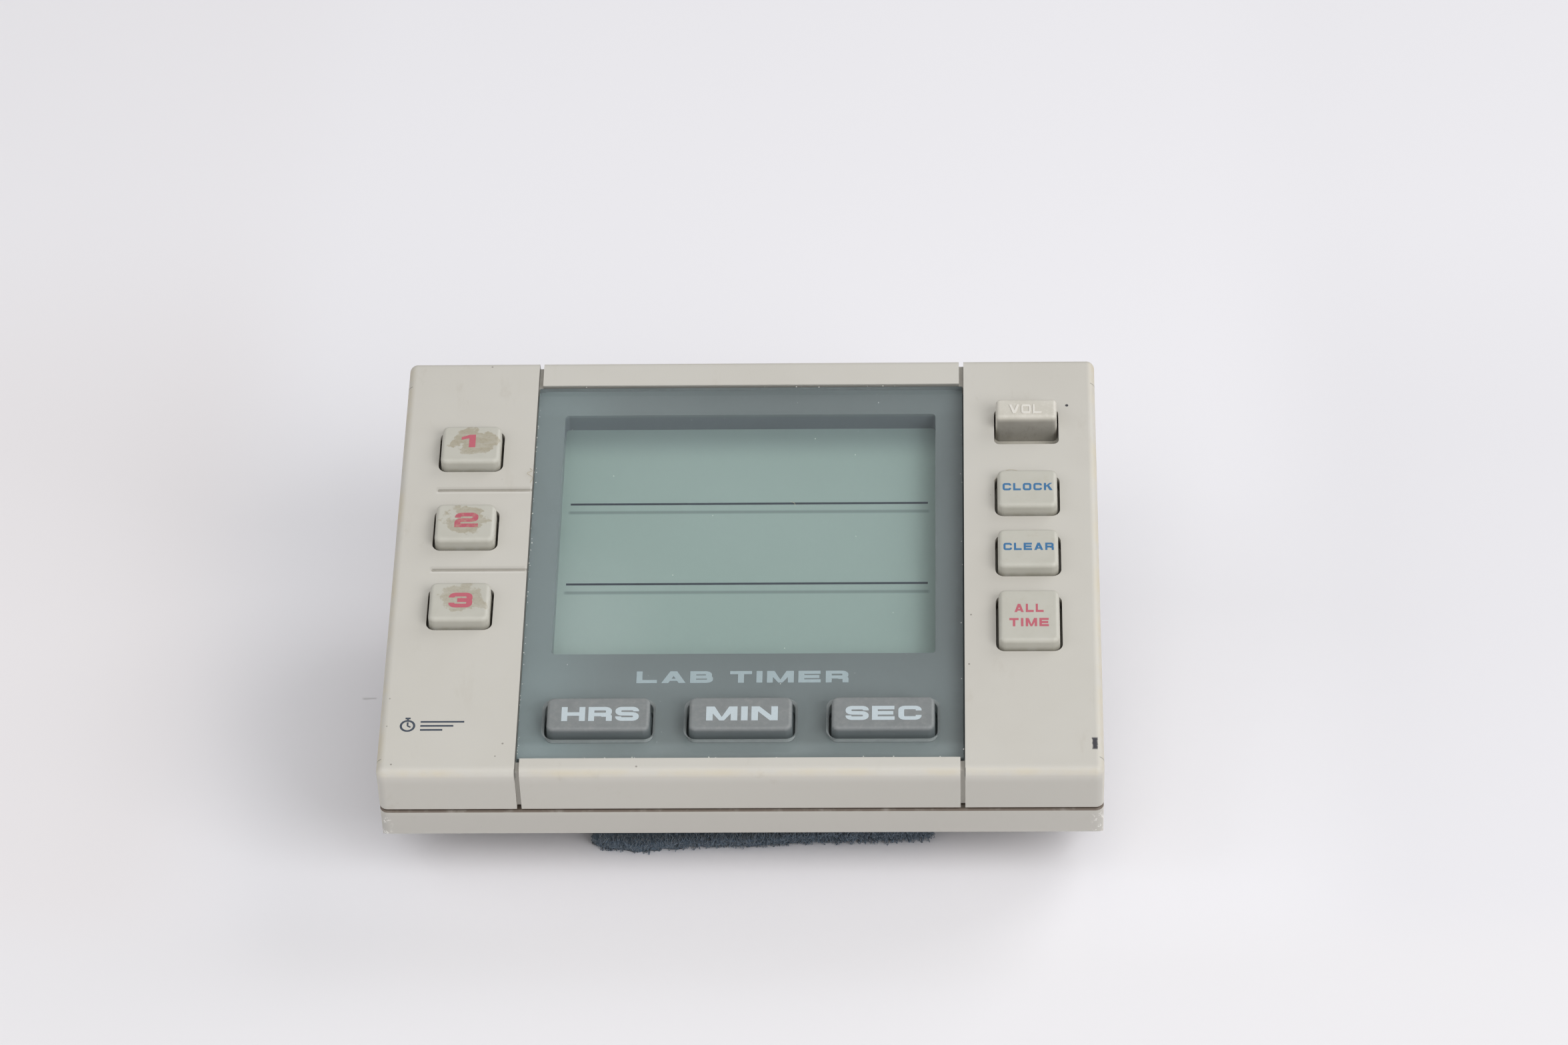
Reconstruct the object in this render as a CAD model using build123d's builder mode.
from build123d import *
import os
from math import sin, cos, radians

os.makedirs("parts", exist_ok=True)

# ---------------------------------------------------------------- driving dimensions (mm)
TILT = 12.0  # the case leans back on its stand by this much (degrees)
WIDTH = 86.0
TOP_Y, BOT_Y = 33.85, -34.3  # upper and lower edges, up the face
HEIGHT = TOP_Y - BOT_Y
MID_Y = (TOP_Y + BOT_Y) / 2
THICK = 19.0  # face to back
CORNER_R = 1.0
EDGE_R = 1.0
WALL = 1.8
FRONT_DEPTH = 6.7  # front shell, face to its lower rim
PART_Z = -6.9  # where the screw posts of the two shells meet
REAR_RIM = -7.1  # upper rim of the rear shell, leaving a thin shadow line
BEVEL_Z = -11.15  # where the bevels to the back start
BEVEL = THICK + BEVEL_Z  # at 45 degrees
LIP = 1.0

LENS_W, LENS_TOP, LENS_BOT = 53.2, 29.55, -32.15  # opening in the face
LENS_GAP = 0.2
LENS_Z = -0.15
LENS_T = 1.6
LENS_EDGE = 0.2  # depth of the bevel round the window
APERTURE_W, APERTURE_TOP, APERTURE_BOT = 46.2, 25.3, -14.7
LCD_Z = -4.4
BOARD_Z = -8.2
BOARD_T = 1.0

KEY_X = 34.375
LEFT_KEYS = {"key_1": 18.09, "key_2": 4.81, "key_3": -8.25}
RIGHT_KEYS = {"key_clock": (10.15, 6.86), "key_clear": (0.15, 6.86), "key_all_time": (-10.95, 9.06)}
KEY_W, KEY_H = 8.0, 6.86  # openings in the face
KEY_GAP = 0.28
KEY_TOP = 1.6
STOP_GAP = 0.15
SOFT_KEYS = {"key_hours": -16.9, "key_minutes": 0.0, "key_seconds": 16.9}
SOFT_Y, SOFT_W, SOFT_H = -25.95, 12.9, 5.8
SOFT_TOP = 1.0
STEM_END = -6.2

VOL_SLOT = (18.95, 24.85)
VOL_KNOB = (21.3, 24.6)
VOL_TOP = 2.4
VOL_TRAVEL = 2.2

HINGE = (7.5, -17.5)  # stand pivot, up the face and out of the face
PIN_R = 0.75
RUN = 0.05  # radial running clearance
STAND_OPEN = 105.0
LEG_W = 34.0
CELL_Y, CELL_Z, CELL_R, CELL_L = 19.0, -12.0, 5.25, 44.5
POSTS = [(x, y) for x in (-38.8, 38.8) for y in (-30.0, 29.3)]
BOARD_POSTS = [(-34.4, 24.0), (-34.4, -18.6), (34.4, -21.0)]
MAGNETS = [(-31.0, 2.0), (31.0, 2.0)]
BUZZER = (-30.0, -15.0)
PAD_X, PAD_W = 2.3, 40.6
PAD_Y = (-26.5, -9.5)
PAD_T = 3.0

# ---------------------------------------------------------------- frame of the face
S, C = sin(radians(TILT)), cos(radians(TILT))
FACE_Z = -(PAD_Y[0] * S + (-THICK - PAD_T) * C)  # the pad's lower edge stands on the table
FACE_Y = -1.0321  # centres the whole timer over the origin
FACE = Plane(origin=(0, FACE_Y, FACE_Z), x_dir=(1, 0, 0), z_dir=(0, -S, C))
OUT = Axis(FACE.origin, FACE.z_dir)
UP = Axis(FACE.origin, FACE.y_dir)
ACROSS = Axis(FACE.origin, FACE.x_dir)


def level(z):
    """Plane parallel to the face, z out of it."""
    return FACE.offset(z)


def side(x):
    """Plane square to X; its own axes run up the face and out of the face."""
    return Plane(origin=FACE.from_local_coords((x, 0, 0)), x_dir=FACE.y_dir, z_dir=(1, 0, 0))


def save(piece, name):
    piece.part.label = name
    export_step(piece.part, f"parts/{name}.step")


# ---------------------------------------------------------------- front shell
with BuildPart(FACE) as front_case:
    with BuildSketch(level(0)):
        with Locations((0, MID_Y)):
            RectangleRounded(WIDTH, HEIGHT, CORNER_R)
    extrude(amount=-FRONT_DEPTH)
    fillet(front_case.faces().sort_by(OUT)[-1].edges(), EDGE_R)
    with BuildSketch(level(-WALL)):
        with Locations((0, MID_Y)):
            RectangleRounded(WIDTH - 2 * WALL, HEIGHT - 2 * WALL, 0.6)
    extrude(amount=-FRONT_DEPTH, mode=Mode.SUBTRACT)
    with BuildSketch(level(-5.65)):  # rebate for the rear shell's lip
        with Locations((0, MID_Y)):
            RectangleRounded(WIDTH - 2 * LIP + 0.1, HEIGHT - 2 * LIP + 0.1, 0.5)
    extrude(amount=-3, mode=Mode.SUBTRACT)
    with BuildSketch(level(-WALL)):  # case screw posts
        with Locations(*POSTS):
            Circle(2.5)
    extrude(amount=-(-PART_Z - WALL))
    with BuildSketch(level(-WALL)):  # board posts
        with Locations(*BOARD_POSTS):
            Circle(1.7)
    extrude(amount=-(-BOARD_Z - WALL))
    with BuildSketch(level(PART_Z)):
        with Locations(*POSTS):
            Circle(0.9)
    extrude(amount=4.6, mode=Mode.SUBTRACT)
    with BuildSketch(level(BOARD_Z)):
        with Locations(*BOARD_POSTS):
            Circle(0.8)
    extrude(amount=4.5, mode=Mode.SUBTRACT)
    with BuildSketch(level(0)):  # window opening
        with Locations((0, (LENS_TOP + LENS_BOT) / 2)):
            RectangleRounded(LENS_W, LENS_TOP - LENS_BOT, 0.25)
    extrude(amount=-WALL, mode=Mode.SUBTRACT)
    with BuildSketch(level(0)):  # key openings and the volume slot
        with Locations(*[(-KEY_X, y) for y in LEFT_KEYS.values()]):
            RectangleRounded(KEY_W, KEY_H, 1.1)
        for y, h in RIGHT_KEYS.values():
            with Locations((KEY_X, y)):
                RectangleRounded(KEY_W, h, 1.1)
        with Locations((KEY_X, (VOL_SLOT[0] + VOL_SLOT[1]) / 2)):
            RectangleRounded(KEY_W, VOL_SLOT[1] - VOL_SLOT[0], 0.7)
    extrude(amount=-WALL - 0.1, mode=Mode.SUBTRACT)
    with BuildSketch(level(0)):  # channels that carry the window's side lines over the bars
        with Locations(*[(x, y) for x in (-26.32, 26.32) for y in (31.7, -33.2)]):
            Rectangle(0.56, 4.7)
    extrude(amount=-0.7, mode=Mode.SUBTRACT)
    with BuildSketch(level(0.5)):
        with Locations(*[(x, y) for x in (-26.32, 26.32) for y in (TOP_Y, BOT_Y)]):
            Rectangle(0.56, 1.4)
    extrude(amount=-9, mode=Mode.SUBTRACT)
    with BuildSketch(level(0)):  # engraved lines between the three channel keys
        for y in (11.5, -1.85):
            with Locations((-32.1, y)):
                Rectangle(11.8, 0.5)
            with Locations((-38.0, y)):
                Circle(0.25)
    extrude(amount=-0.35, mode=Mode.SUBTRACT)
save(front_case, "front_case")

# ---------------------------------------------------------------- rear shell
POST_R = 3.2
with BuildPart() as cavity:
    with BuildSketch(side(-(WIDTH / 2 - WALL))):
        with BuildLine():
            k = WALL * 2**0.5
            z1 = BEVEL_Z - (k - WALL)
            z2 = -THICK + WALL
            run = k - z2 + BEVEL_Z
            Polyline((BOT_Y + WALL, -5.0), (TOP_Y - WALL, -5.0), (TOP_Y - WALL, z1), (TOP_Y - run, z2),
                     (BOT_Y + run, z2), (BOT_Y + WALL, z1), close=True)
        make_face()
    extrude(amount=WIDTH - 2 * WALL)
    with BuildSketch(level(PART_Z)):
        with Locations(*POSTS):
            Circle(POST_R)
    extrude(amount=-12, mode=Mode.SUBTRACT)
    with BuildSketch(level(-THICK)):  # magnet seats
        with Locations(*MAGNETS):
            Circle(5.7)
    extrude(amount=3.5, mode=Mode.SUBTRACT)
    with BuildSketch(level(-THICK)):  # floor and walls of the stand's recess
        with Locations((0, 1.65)):
            Rectangle(38.0, 18.6)
    extrude(amount=4.8, mode=Mode.SUBTRACT)
    with BuildSketch(level(-THICK)):  # battery bay: end walls, front wall
        with Locations((-26.9, 18.6), (26.9, 18.6)):
            Rectangle(1.8, 13.2)
    extrude(amount=THICK - 9.6, mode=Mode.SUBTRACT)
    with BuildSketch(level(-THICK)):
        with Locations((0, 12.45)):
            Rectangle(55.6, 0.9)
    extrude(amount=THICK - 11.0, mode=Mode.SUBTRACT)
    with BuildSketch(level(-THICK)):  # rails over the door's tongues
        with Locations((-27.6, 19.5), (27.6, 19.5)):
            Rectangle(3.2, 15.0)
    extrude(amount=2.9, mode=Mode.SUBTRACT)
    with BuildSketch(level(-THICK)):  # stiffening ribs across the lower half
        with Locations((-19.6, -16.2), (24.2, -16.2)):
            Rectangle(1.0, 17.0)
    extrude(amount=4.6, mode=Mode.SUBTRACT)

with BuildPart() as rear_case:
    with BuildSketch(side(-WIDTH / 2)):
        with BuildLine():
            Polyline((BOT_Y, REAR_RIM), (TOP_Y, REAR_RIM), (TOP_Y, BEVEL_Z), (TOP_Y - BEVEL, -THICK),
                     (BOT_Y + BEVEL, -THICK), (BOT_Y, BEVEL_Z), close=True)
        make_face()
    extrude(amount=WIDTH)
    chamfer(rear_case.faces().sort_by(OUT)[0].edges().filter_by(UP), 1.6)
    fillet(rear_case.edges().filter_by(OUT), CORNER_R)
    chamfer(rear_case.faces().sort_by(OUT)[-1].edges(), 0.18)
    with BuildSketch(level(REAR_RIM)):  # lip that locates the front shell
        with Locations((0, MID_Y)):
            RectangleRounded(WIDTH - 2 * LIP, HEIGHT - 2 * LIP, 0.5)
    extrude(amount=-REAR_RIM - 5.8)
    add(cavity.part, mode=Mode.SUBTRACT)
    with BuildSketch(level(PART_Z)):  # the posts stop where they meet the front shell's
        with Locations(*POSTS):
            Circle(POST_R + 0.2)
    extrude(amount=2, mode=Mode.SUBTRACT)
    with BuildSketch(level(-11.8)):  # counterbores
        with Locations(*POSTS):
            Circle(2.2)
    extrude(amount=-12, mode=Mode.SUBTRACT)
    with BuildSketch(level(PART_Z)):
        with Locations(*POSTS):
            Circle(1.2)
    extrude(amount=-6, mode=Mode.SUBTRACT)
    with BuildSketch(level(-THICK)):  # magnet pockets
        with Locations(*MAGNETS):
            Circle(4.6)
    extrude(amount=2.1, mode=Mode.SUBTRACT)
    with BuildSketch(level(-THICK)):  # recess that takes the folded stand
        with Locations((0, 1.65)):
            Rectangle(LEG_W + 0.8, 15.5)
    extrude(amount=3.3, mode=Mode.SUBTRACT)
    with BuildSketch(level(-THICK)):  # finger notch
        with Locations((0, -7.3)):
            RectangleRounded(12.0, 3.2, 0.8)
    extrude(amount=1.5, mode=Mode.SUBTRACT)
    with BuildSketch(side(-18.6)):  # seats of the stand's pin
        with Locations(HINGE):
            Circle(PIN_R)
    extrude(amount=37.2, mode=Mode.SUBTRACT)
    with BuildSketch(level(-THICK - 0.5)):  # battery door opening, out through the upper bevel
        with Locations((0, 12.6 + 10)):
            Rectangle(52.0, 20.0)
    extrude(amount=2.1, mode=Mode.SUBTRACT)
    with BuildSketch(level(-18.2)):  # grooves for the door's tongues
        with Locations((0, 12.6 + 10)):
            Rectangle(54.0, 20.0)
    extrude(amount=0.8, mode=Mode.SUBTRACT)
    with BuildSketch(level(-18.3)):  # catch slot
        with Locations((0, 12.05)):
            Rectangle(8.6, 1.3)
    extrude(amount=0.9, mode=Mode.SUBTRACT)
    with BuildSketch(level(-17.6)):  # the bay is open to the door
        with Locations((0, 18.8)):
            Rectangle(51.0, 11.6)
    extrude(amount=0.6, mode=Mode.SUBTRACT)
    with BuildSketch(level(-THICK)):  # sound slots
        with Locations(*[(BUZZER[0], BUZZER[1] + d) for d in (-3.9, -1.3, 1.3, 3.9)]):
            SlotOverall(10.0, 1.2)
    extrude(amount=WALL + 0.2, mode=Mode.SUBTRACT)
save(rear_case, "rear_case")

# ---------------------------------------------------------------- window, mask and display
LENS_MID = (LENS_TOP + LENS_BOT) / 2
LW, LH = LENS_W - 2 * LENS_GAP, LENS_TOP - LENS_BOT - 2 * LENS_GAP
with BuildPart(FACE) as lens:
    with BuildSketch(level(LENS_Z - LENS_T)):
        with Locations((0, LENS_MID)):
            Rectangle(LW, LH)
    extrude(amount=LENS_T - LENS_EDGE)
    with BuildSketch(level(LENS_Z - LENS_EDGE)):
        with Locations((0, LENS_MID)):
            Rectangle(LW, LH)
    with BuildSketch(level(LENS_Z)):
        with Locations((0, LENS_MID)):
            Rectangle(LW - 2.4, LH - 2.4)
    loft()
    with BuildSketch(level(LENS_Z - LENS_T)):
        with Locations(*[(x, SOFT_Y) for x in SOFT_KEYS.values()]):
            RectangleRounded(SOFT_W, SOFT_H, 1.1)
    extrude(amount=LENS_T, mode=Mode.SUBTRACT)
    chamfer(lens.faces().sort_by(OUT)[-1].inner_wires().edges(), 0.3)
save(lens, "lens")

with BuildPart(FACE) as display_frame:
    with BuildSketch(level(-WALL)):
        with Locations((0, -0.2)):
            RectangleRounded(56.6, 62.2, 1.0)
    extrude(amount=-0.8)
    with BuildSketch(level(-2.6)):
        with Locations((0, 5.1)):
            Rectangle(53.4, 47.0)
    extrude(amount=-(-LCD_Z - 2.6))
    with BuildSketch(level(LCD_Z)):  # rim that holds the glass
        with Locations((0, 5.1)):
            Rectangle(53.4, 47.0)
            Rectangle(50.6, 45.6, mode=Mode.SUBTRACT)
    extrude(amount=-1.6)
    with BuildSketch(level(-WALL)):
        with Locations((0, (APERTURE_TOP + APERTURE_BOT) / 2)):
            RectangleRounded(APERTURE_W, APERTURE_TOP - APERTURE_BOT, 0.5)
        with Locations(*[(x, SOFT_Y) for x in SOFT_KEYS.values()]):
            RectangleRounded(SOFT_W, SOFT_H, 1.1)
    extrude(amount=-4, mode=Mode.SUBTRACT)
save(display_frame, "display_frame")

with BuildPart(FACE) as lcd_panel:
    with BuildSketch(level(LCD_Z)):
        with Locations((0, 5.1)):
            Rectangle(50.0, 45.0)
    extrude(amount=-1.0)
    with BuildSketch(level(LCD_Z - 1.0)):
        with Locations((0, 6.5)):
            Rectangle(50.0, 42.2)
    extrude(amount=-1.0)
save(lcd_panel, "lcd_panel")

with BuildPart(FACE) as lcd_reflector:
    with BuildSketch(level(LCD_Z - 2.0)):
        with Locations((0, 6.5)):
            Rectangle(49.0, 41.2)
    extrude(amount=-0.2)
save(lcd_reflector, "lcd_reflector")

with BuildPart(FACE) as zebra_strip:
    with BuildSketch(level(LCD_Z - 1.0)):
        with Locations((0, -16.05)):
            Rectangle(46.0, 1.9)
    extrude(amount=-(-BOARD_Z + LCD_Z - 1.0))
save(zebra_strip, "zebra_strip")

# ---------------------------------------------------------------- circuit board and what is on it
with BuildPart(FACE) as main_board:
    with BuildSketch(level(BOARD_Z)):
        with BuildLine():
            Polyline((-34.8, -30.6), (34.8, -30.6), (34.8, -25.4), (40.4, -25.4), (40.4, 25.0),
                     (28.6, 25.0), (28.6, 11.8), (-28.6, 11.8), (-28.6, 25.6), (-37.2, 25.6),
                     (-37.2, 25.0), (-40.4, 25.0), (-40.4, -25.4), (-34.8, -25.4), close=True)
        make_face()
        with Locations(*BOARD_POSTS):
            Circle(0.9, mode=Mode.SUBTRACT)
    extrude(amount=-BOARD_T)
save(main_board, "main_board")
UNDER = BOARD_Z - BOARD_T

with BuildPart(FACE) as chip_blob:
    with BuildSketch(level(UNDER)):
        with Locations((4, -6)):
            Circle(6.5)
    extrude(amount=-1.4)
    fillet(chip_blob.faces().sort_by(OUT)[0].edges(), 1.2)
save(chip_blob, "chip_blob")

with BuildPart(FACE) as clock_crystal:
    with BuildSketch(side(14)):
        with Locations((2.0, UNDER - 1.05)):
            Circle(1.0)
    extrude(amount=6.2)
save(clock_crystal, "clock_crystal")

with BuildPart(FACE) as board_chips:
    with BuildSketch(level(UNDER)):
        with Locations((-10, 4), (-10, 1), (-10, -2), (-10, -5), (14, -12), (18, -12), (22, -5), (22, -9)):
            Rectangle(2.0, 1.25)
    extrude(amount=-0.6)
save(board_chips, "board_chips")

with BuildPart(FACE) as smoothing_capacitor:
    with BuildSketch(level(UNDER)):
        with Locations((-16, -22)):
            Circle(2.5)
    extrude(amount=-5.0)
    fillet(smoothing_capacitor.faces().sort_by(OUT)[0].edges(), 0.5)
save(smoothing_capacitor, "smoothing_capacitor")

# ---------------------------------------------------------------- keys and their rubber domes
DOME_H = BOARD_Z - STEM_END - 0.05


def dome(x, y):
    """Silicone dome, standing on the board below a key's stem."""
    with BuildPart(FACE) as d:
        with BuildSketch(level(BOARD_Z)):
            with Locations((x, y)):
                Circle(2.6)
        extrude(amount=0.35)
        with BuildSketch(level(BOARD_Z + 0.35)):
            with Locations((x, y)):
                Circle(2.2)
        with BuildSketch(level(STEM_END - 0.05)):
            with Locations((x, y)):
                Circle(1.3)
        loft()
    return d


def hard_key(x, y, w, h, top):
    """Moulded key: cap, retaining flange under the face, and a stem down to its dome."""
    with BuildPart(FACE) as k:
        with BuildSketch(level(-WALL - STOP_GAP)):
            with Locations((x, y)):
                RectangleRounded(w, h, 0.9)
        extrude(amount=top + WALL + STOP_GAP, taper=1.2)
        fillet(k.faces().sort_by(OUT)[-1].edges(), 0.55)
        with BuildSketch(level(-WALL - STOP_GAP)):
            with Locations((x, y)):
                Rectangle(w + 1.8, h + 1.4)
        extrude(amount=-0.9)
        with BuildSketch(level(-WALL - STOP_GAP - 0.9)):
            with Locations((x, y)):
                Circle(1.3)
        extrude(amount=-(-STEM_END - WALL - STOP_GAP - 0.9))
    return k


for name, y in LEFT_KEYS.items():
    key = hard_key(-KEY_X, y, KEY_W - 2 * KEY_GAP, KEY_H - 2 * KEY_GAP, KEY_TOP)
    save(key, name)
    save(dome(-KEY_X, y), name.replace("key", "dome"))

for name, (y, h) in RIGHT_KEYS.items():
    key = hard_key(KEY_X, y, KEY_W - 2 * KEY_GAP, h - 2 * KEY_GAP, KEY_TOP)
    save(key, name)
    save(dome(KEY_X, y), name.replace("key", "dome"))

for name, x in SOFT_KEYS.items():
    with BuildPart(FACE) as key:
        with BuildSketch(level(-2.6 - STOP_GAP)):
            with Locations((x, SOFT_Y)):
                RectangleRounded(SOFT_W - 0.5, SOFT_H - 0.5, 0.9)
        extrude(amount=SOFT_TOP + 2.6 + STOP_GAP, taper=1.5)
        fillet(key.faces().sort_by(OUT)[-1].edges(), 0.45)
        with BuildSketch(level(-2.6 - STOP_GAP)):
            with Locations((x, SOFT_Y)):
                Rectangle(SOFT_W + 1.4, SOFT_H + 1.2)
        extrude(amount=-0.8)
        with BuildSketch(level(-2.6 - STOP_GAP - 0.8)):
            with Locations((x, SOFT_Y)):
                Circle(1.3)
        extrude(amount=-(-STEM_END - 2.6 - STOP_GAP - 0.8))
    save(key, name)
    save(dome(x, SOFT_Y), name.replace("key", "dome"))

# ---------------------------------------------------------------- volume slide
KNOB_MID = (VOL_KNOB[0] + VOL_KNOB[1]) / 2
LEVER_Y = 22.2
with BuildPart(FACE) as volume_knob:
    with BuildSketch(level(-WALL - STOP_GAP)):
        with Locations((KEY_X, KNOB_MID)):
            RectangleRounded(7.64, VOL_KNOB[1] - VOL_KNOB[0], 0.6)
    extrude(amount=VOL_TOP + WALL + STOP_GAP, taper=0.8)
    fillet(volume_knob.faces().sort_by(OUT)[-1].edges(), 0.5)
    with BuildSketch(level(-WALL - STOP_GAP)):
        with Locations((KEY_X, 22.0)):
            Rectangle(8.8, 8.0)
    extrude(amount=-0.8)
    with BuildSketch(level(-2.75)):
        with Locations((KEY_X, LEVER_Y)):
            Rectangle(3.6, 2.8)
    extrude(amount=-2.7)
    with BuildSketch(level(-5.45)):
        with Locations((KEY_X, LEVER_Y)):
            Rectangle(1.5, 1.2)
    extrude(amount=1.6, mode=Mode.SUBTRACT)
save(volume_knob, "volume_knob")

with BuildPart(FACE) as volume_switch_lever:
    with BuildSketch(level(-7.2)):
        with Locations((KEY_X, LEVER_Y)):
            Rectangle(1.5, 1.2)
    extrude(amount=3.35)
save(volume_switch_lever, "volume_switch_lever")

with BuildPart(FACE) as volume_switch:
    with BuildSketch(level(BOARD_Z)):
        with Locations((KEY_X, 20.8)):
            Rectangle(8.6, 6.4)
    extrude(amount=2.4)
    with BuildSketch(level(BOARD_Z + 0.6)):
        with Locations((KEY_X, LEVER_Y - VOL_TRAVEL / 2)):
            Rectangle(2.1, 1.8 + VOL_TRAVEL)
    extrude(amount=3, mode=Mode.SUBTRACT)
save(volume_switch, "volume_switch")

# ---------------------------------------------------------------- battery bay
with BuildPart(FACE) as battery_cell:
    with BuildSketch(side(-CELL_L / 2)):
        with Locations((CELL_Y, CELL_Z)):
            Circle(CELL_R)
    extrude(amount=CELL_L - 1.0)
    fillet(battery_cell.edges().filter_by(GeomType.CIRCLE), 0.4)
    with BuildSketch(side(CELL_L / 2 - 1.0)):
        with Locations((CELL_Y, CELL_Z)):
            Circle(1.9)
    extrude(amount=1.0)
save(battery_cell, "battery_cell")

with BuildPart(FACE) as battery_spring:  # plate, foot on the board and a coil against the cell
    with BuildSketch(side(-26.0)):
        with Locations((CELL_Y, CELL_Z)):
            Rectangle(8.4, 8.4)
        with Locations((12.4, -10.0)):
            Rectangle(5.0, 1.6)
    extrude(amount=0.4)
    coil = Helix(pitch=0.95, height=2.85, radius=2.4,
                 center=FACE.from_local_coords((-25.45, CELL_Y, CELL_Z)), direction=(1, 0, 0))
    with BuildSketch(Plane(origin=coil @ 0, z_dir=coil % 0)):
        Circle(0.25)
    sweep(path=coil, is_frenet=True)
save(battery_spring, "battery_spring")

with BuildPart(FACE) as battery_contact:
    with BuildSketch(side(25.6)):
        with Locations((CELL_Y, CELL_Z)):
            Rectangle(8.4, 8.4)
        with Locations((12.4, -10.0)):
            Rectangle(5.0, 1.6)
    extrude(amount=0.4)
    with BuildSketch(side(CELL_L / 2)):
        with Locations((CELL_Y, CELL_Z)):
            Circle(1.6)
    extrude(amount=25.6 - CELL_L / 2)
save(battery_contact, "battery_contact")

with BuildPart(FACE) as battery_door:
    with BuildSketch(side(-25.85)):
        with BuildLine():
            e = TOP_Y - BEVEL
            Polyline((12.75, -THICK), (e, -THICK), (e + 1.45, -17.55), (12.75, -17.55), close=True)
        make_face()
    extrude(amount=51.7)
    with BuildSketch(level(-18.1)):
        with Locations((0, 19.35)):
            Rectangle(53.7, 13.2)
    extrude(amount=0.55)
    with BuildSketch(level(-18.1)):
        with Locations((0, 12.3)):
            Rectangle(8.0, 1.0)
    extrude(amount=0.55)
    with BuildSketch(level(-THICK)):  # thumb grip
        with Locations(*[(0, y) for y in (15.4, 16.9, 18.4, 19.9)]):
            SlotOverall(14.0, 0.8)
    extrude(amount=0.45, mode=Mode.SUBTRACT)
save(battery_door, "battery_door")

# ---------------------------------------------------------------- sounder
with BuildPart(FACE) as buzzer_holder:
    with BuildSketch(level(-THICK + WALL)):
        with Locations(BUZZER):
            Circle(8.8)
            Circle(7.4, mode=Mode.SUBTRACT)
    extrude(amount=1.8)
    with BuildSketch(level(-16.2)):
        with Locations(BUZZER):
            Circle(8.05)
    extrude(amount=2, mode=Mode.SUBTRACT)
save(buzzer_holder, "buzzer_holder")

with BuildPart(FACE) as buzzer_disc:
    with BuildSketch(level(-16.2)):
        with Locations(BUZZER):
            Circle(8.0)
    extrude(amount=0.25)
    with BuildSketch(level(-15.95)):
        with Locations(BUZZER):
            Circle(5.6)
    extrude(amount=0.2)
save(buzzer_disc, "buzzer_disc")

with BuildPart(FACE) as buzzer_springs:
    for bx in (-30.0, -35.9):
        low = -15.75 if bx == -30.0 else -15.95
        turn = Helix(pitch=1.1, height=UNDER - low - 0.5, radius=0.8,
                     center=FACE.from_local_coords((bx, BUZZER[1], low + 0.25)), direction=FACE.z_dir)
        with BuildSketch(Plane(origin=turn @ 0, z_dir=turn % 0)):
            Circle(0.16)
        sweep(path=turn, is_frenet=True)
save(buzzer_springs, "buzzer_springs")

# ---------------------------------------------------------------- fasteners and magnets
with BuildPart(FACE) as case_screws:
    with BuildSketch(level(-11.8)):
        with Locations(*POSTS):
            Circle(2.0)
    extrude(amount=-1.5)
    fillet(case_screws.faces().group_by(OUT)[0].edges(), 0.5)
    with BuildSketch(level(-11.8)):
        with Locations(*POSTS):
            Circle(0.9)
    extrude(amount=9.0)
    with BuildSketch(level(-13.3)):
        for p in POSTS:
            with Locations(p):
                Rectangle(2.2, 0.5)
                Rectangle(0.5, 2.2)
    extrude(amount=0.8, mode=Mode.SUBTRACT)
save(case_screws, "case_screws")

with BuildPart(FACE) as board_screws:
    with BuildSketch(level(UNDER)):
        with Locations(*BOARD_POSTS):
            Circle(1.6)
    extrude(amount=-1.1)
    with BuildSketch(level(UNDER)):
        with Locations(*BOARD_POSTS):
            Circle(0.8)
    extrude(amount=5.0)
save(board_screws, "board_screws")

with BuildPart(FACE) as magnets:
    with BuildSketch(level(-THICK + 0.05)):
        with Locations(*MAGNETS):
            Circle(4.5)
    extrude(amount=2.0)
    chamfer(magnets.faces().group_by(OUT)[0].edges(), 0.2)
save(magnets, "magnets")

# ---------------------------------------------------------------- hook-and-loop pad
PAD_MID = (PAD_Y[0] + PAD_Y[1]) / 2
with BuildPart(FACE) as pad_hook:
    with BuildSketch(level(-THICK)):
        with Locations((PAD_X, PAD_MID)):
            RectangleRounded(PAD_W, PAD_Y[1] - PAD_Y[0], 0.8)
    extrude(amount=-1.4)
save(pad_hook, "pad_hook")

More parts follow.
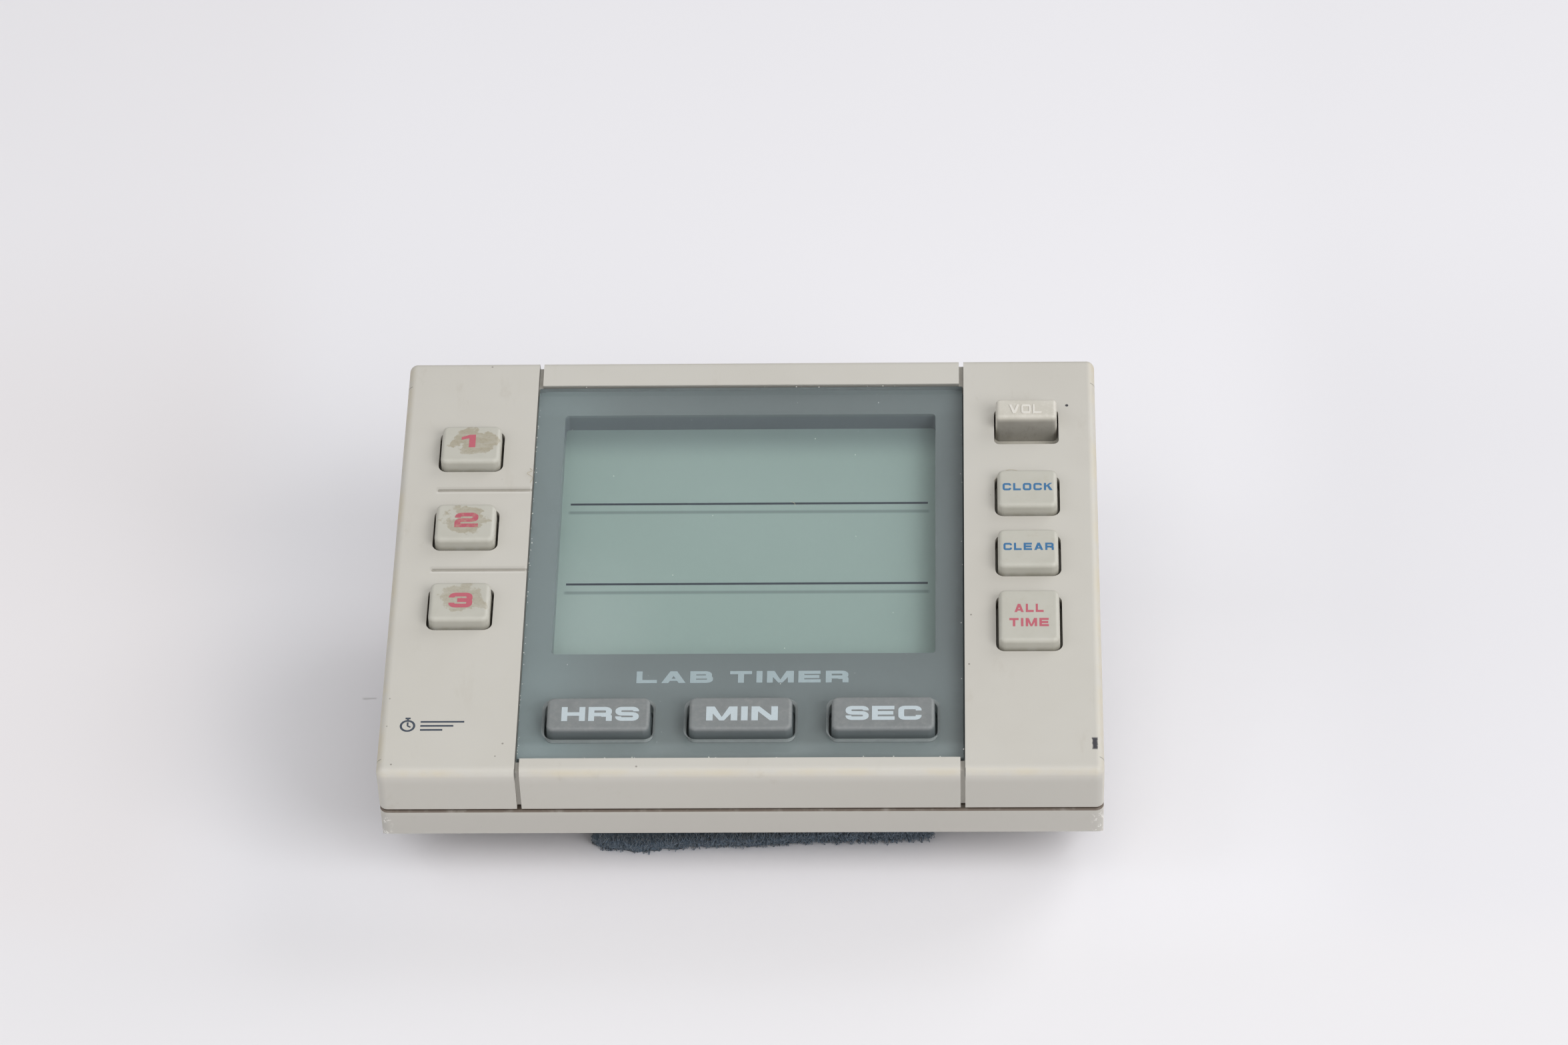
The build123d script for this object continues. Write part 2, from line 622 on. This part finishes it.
with BuildPart(FACE) as pad_loop:
    with BuildSketch(level(-THICK - 1.4)):
        with Locations((PAD_X, PAD_MID)):
            RectangleRounded(PAD_W, PAD_Y[1] - PAD_Y[0], 0.8)
    extrude(amount=-(PAD_T - 1.4))
save(pad_loop, "pad_loop")

# ---------------------------------------------------------------- stand
with BuildPart(FACE) as stand_pin:
    with BuildSketch(side(-18.6)):
        with Locations(HINGE):
            Circle(PIN_R)
    extrude(amount=37.2)
save(stand_pin, "stand_pin")

HINGE_H = FACE_Z + HINGE[0] * S + HINGE[1] * C  # pivot above the table
LEAN = radians(90 - STAND_OPEN + TILT + 90)  # open leg's slope below the horizontal
DIR = radians(180 + STAND_OPEN)  # open leg, in the plane up and out of the face
LEG_T, LEG_OFF = 2.2, 0.2
DOWN = -sin(DIR + radians(TILT))
LEG_L = (HINGE_H + LEG_OFF * cos(DIR + radians(TILT)) - LEG_T / 2) / DOWN
LEG = Plane(origin=FACE.from_local_coords((-LEG_W / 2, HINGE[0], HINGE[1])),
            x_dir=FACE.y_dir * cos(DIR) + FACE.z_dir * sin(DIR), z_dir=(1, 0, 0))
LEG_FACE = Plane(origin=FACE.from_local_coords((0, HINGE[0], HINGE[1])),
                 x_dir=(1, 0, 0), z_dir=LEG.y_dir)
with BuildPart(FACE) as stand_leg:
    with BuildSketch(LEG):
        with Locations((LEG_L / 2, LEG_OFF)):
            Rectangle(LEG_L, LEG_T)
        with Locations((LEG_L, LEG_OFF)):
            Circle(LEG_T / 2)
        Circle(1.45)
    extrude(amount=LEG_W)
    with BuildSketch(LEG):
        Circle(PIN_R + RUN)
    extrude(amount=LEG_W, mode=Mode.SUBTRACT)
    with BuildSketch(LEG_FACE.offset(LEG_OFF - LEG_T / 2)):  # shallow panel on the inner side
        with Locations((0, LEG_L / 2 + 1.2) if LEG_FACE.y_dir.dot(LEG.x_dir) > 0 else (0, -LEG_L / 2 - 1.2)):
            RectangleRounded(LEG_W - 6, LEG_L - 4.4, 1.0)
    extrude(amount=0.8, mode=Mode.SUBTRACT)
save(stand_leg, "stand_leg")

print("leg length", round(LEG_L, 3), "face origin height", round(FACE_Z, 3), "hinge height", round(HINGE_H, 3))
